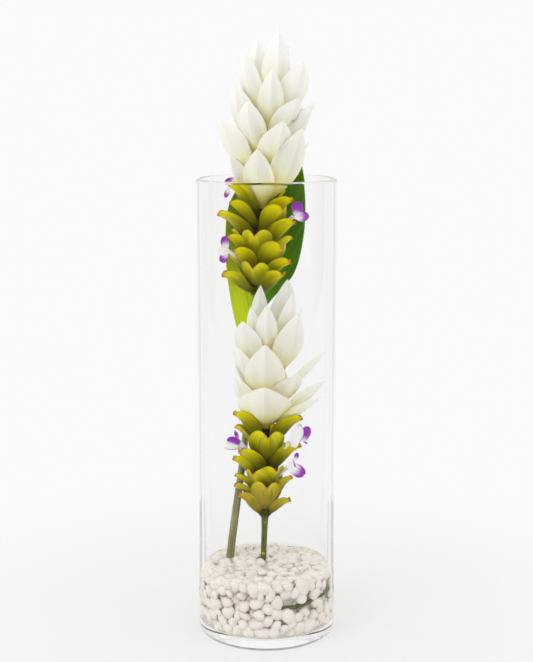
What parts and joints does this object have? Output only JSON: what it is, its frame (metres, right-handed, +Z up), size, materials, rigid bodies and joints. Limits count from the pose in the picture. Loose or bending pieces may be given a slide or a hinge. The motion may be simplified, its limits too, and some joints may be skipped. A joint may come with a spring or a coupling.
{
  "type": "white ginger lily in vase",
  "caption": "Cut white ginger lily flower spikes with a leaf, standing in a tall clear glass cylinder vase with white pebbles and water.",
  "frame": {"origin": "centre of the vase's foot, on the surface it stands on", "axes": "+Z up along the vase's axis, -Y towards the front of the arrangement, +X to the right seen from the front"},
  "size_m": [0.1524, 0.1524, 0.6647],
  "materials": {
    "clear_glass": "clear polished",
    "water": "clear liquid",
    "white_pebble": "polished",
    "stem_green": "satin, ribbed",
    "white_bract": "soft satin petal",
    "green_bract": "soft satin, finely veined",
    "purple_floret": "soft petal",
    "leaf_green": "glossy leaf, pleated veins"
  },
  "bodies": {
    "root": {"vase": "clear_glass", "pebbles": "white_pebble", "water": "water", "stem_tall": "stem_green", "stem_short": "stem_green", "floret_upper_left_top": "purple_floret", "floret_upper_right": "purple_floret", "floret_upper_left": "purple_floret", "floret_upper_back": "purple_floret", "upper_green_bracts": "green_bract", "upper_white_bracts": "white_bract", "floret_lower_left": "purple_floret", "floret_lower_right_top": "purple_floret", "floret_lower_right": "purple_floret", "floret_lower_back": "purple_floret", "lower_green_bracts": "green_bract", "lower_white_bracts": "white_bract", "leaf": "leaf_green"}
  },
  "joints": []
}
